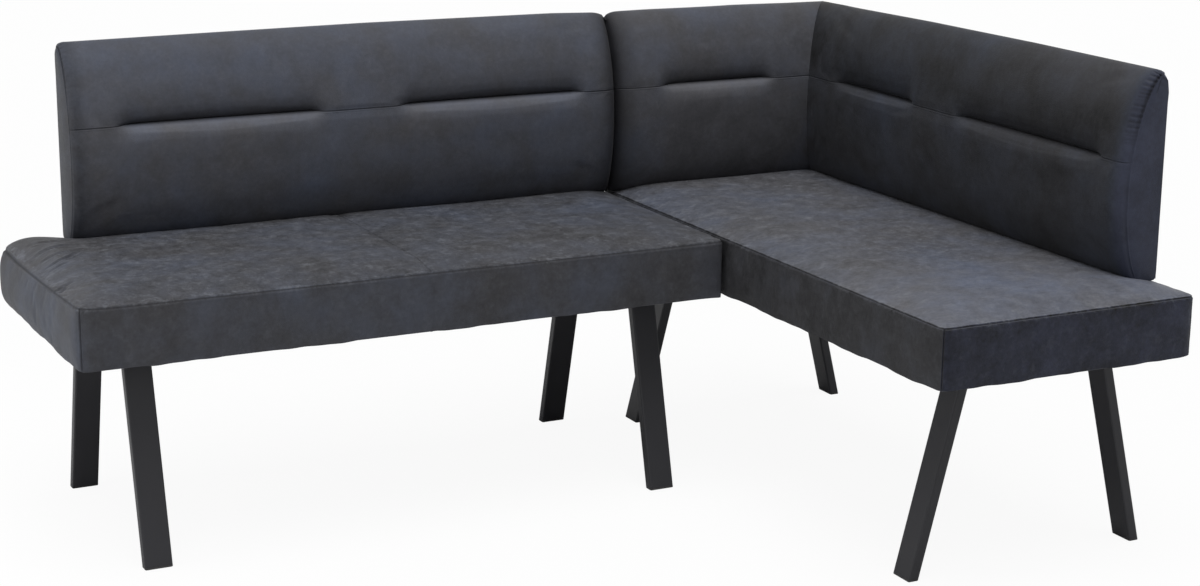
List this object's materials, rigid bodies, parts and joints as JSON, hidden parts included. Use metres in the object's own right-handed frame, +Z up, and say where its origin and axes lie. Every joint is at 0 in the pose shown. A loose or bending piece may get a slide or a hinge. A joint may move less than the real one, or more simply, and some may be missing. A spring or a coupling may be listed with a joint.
{
  "type": "corner bench",
  "caption": "Upholstered corner bench: a straight bench beside a corner seat with an L-shaped backrest, padded backs with pulled folds, splayed flat-tube legs.",
  "frame": {"origin": "on the floor under the middle of the bench's bounding box", "axes": "+X along the long bench towards the corner module, +Y towards the wall behind the long bench, +Z up"},
  "size_m": [1.7772, 1.2352, 0.858],
  "materials": {
    "leather_look_fabric": "mottled vintage leather look, slate grey, matte to satin",
    "foam": "open-cell upholstery foam",
    "timber": "sawn softwood rails and plain board",
    "elastic_webbing": "woven elastic",
    "dust_cloth": "black non-woven cloth",
    "powder_coated_steel": "near-black powder coat, satin",
    "zinc_plated_steel": "bright zinc plating",
    "black_plastic": "matte"
  },
  "bodies": {
    "root": {"corner_backrest_long_board": "timber", "corner_backrest_long_cover": "leather_look_fabric", "corner_backrest_long_foam": "foam", "corner_backrest_long_near_bracket": "zinc_plated_steel", "corner_backrest_long_rear_cover": "leather_look_fabric", "corner_backrest_long_wall_bracket": "zinc_plated_steel", "corner_backrest_post": "timber", "corner_backrest_short_board": "timber", "corner_backrest_short_bracket": "zinc_plated_steel", "corner_backrest_short_cover": "leather_look_fabric", "corner_backrest_short_foam": "foam", "corner_backrest_short_rear_cover": "leather_look_fabric", "corner_dust_cover": "dust_cloth", "corner_near_leg_front_cap": "black_plastic", "corner_near_leg_front_tube": "powder_coated_steel", "corner_near_leg_plate": "powder_coated_steel", "corner_near_leg_rail": "timber", "corner_near_leg_rear_cap": "black_plastic", "corner_near_leg_rear_tube": "powder_coated_steel", "corner_seat_cover": "leather_look_fabric", "corner_seat_foam": "foam", "corner_seat_front_rail": "timber", "corner_seat_near_rail": "timber", "corner_seat_rear_rail": "timber", "corner_seat_wall_rail": "timber", "corner_seat_webbing": "elastic_webbing", "corner_wall_leg_front_cap": "black_plastic", "corner_wall_leg_front_tube": "powder_coated_steel", "corner_wall_leg_plate": "powder_coated_steel", "corner_wall_leg_rail": "timber", "corner_wall_leg_rear_cap": "black_plastic", "corner_wall_leg_rear_tube": "powder_coated_steel", "long_backrest_board": "timber", "long_backrest_cover": "leather_look_fabric", "long_backrest_foam": "foam", "long_backrest_left_bracket": "zinc_plated_steel", "long_backrest_rear_cover": "leather_look_fabric", "long_backrest_right_bracket": "zinc_plated_steel", "long_dust_cover": "dust_cloth", "long_left_leg_front_cap": "black_plastic", "long_left_leg_front_tube": "powder_coated_steel", "long_left_leg_plate": "powder_coated_steel", "long_left_leg_rail": "timber", "long_left_leg_rear_cap": "black_plastic", "long_left_leg_rear_tube": "powder_coated_steel", "long_right_leg_front_cap": "black_plastic", "long_right_leg_front_tube": "powder_coated_steel", "long_right_leg_plate": "powder_coated_steel", "long_right_leg_rail": "timber", "long_right_leg_rear_cap": "black_plastic", "long_right_leg_rear_tube": "powder_coated_steel", "long_seat_cover": "leather_look_fabric", "long_seat_foam": "foam", "long_seat_front_rail": "timber", "long_seat_left_rail": "timber", "long_seat_rear_rail": "timber", "long_seat_right_rail": "timber", "long_seat_webbing": "elastic_webbing", "module_link_front": "zinc_plated_steel", "module_link_rear": "zinc_plated_steel"}
  },
  "joints": []
}
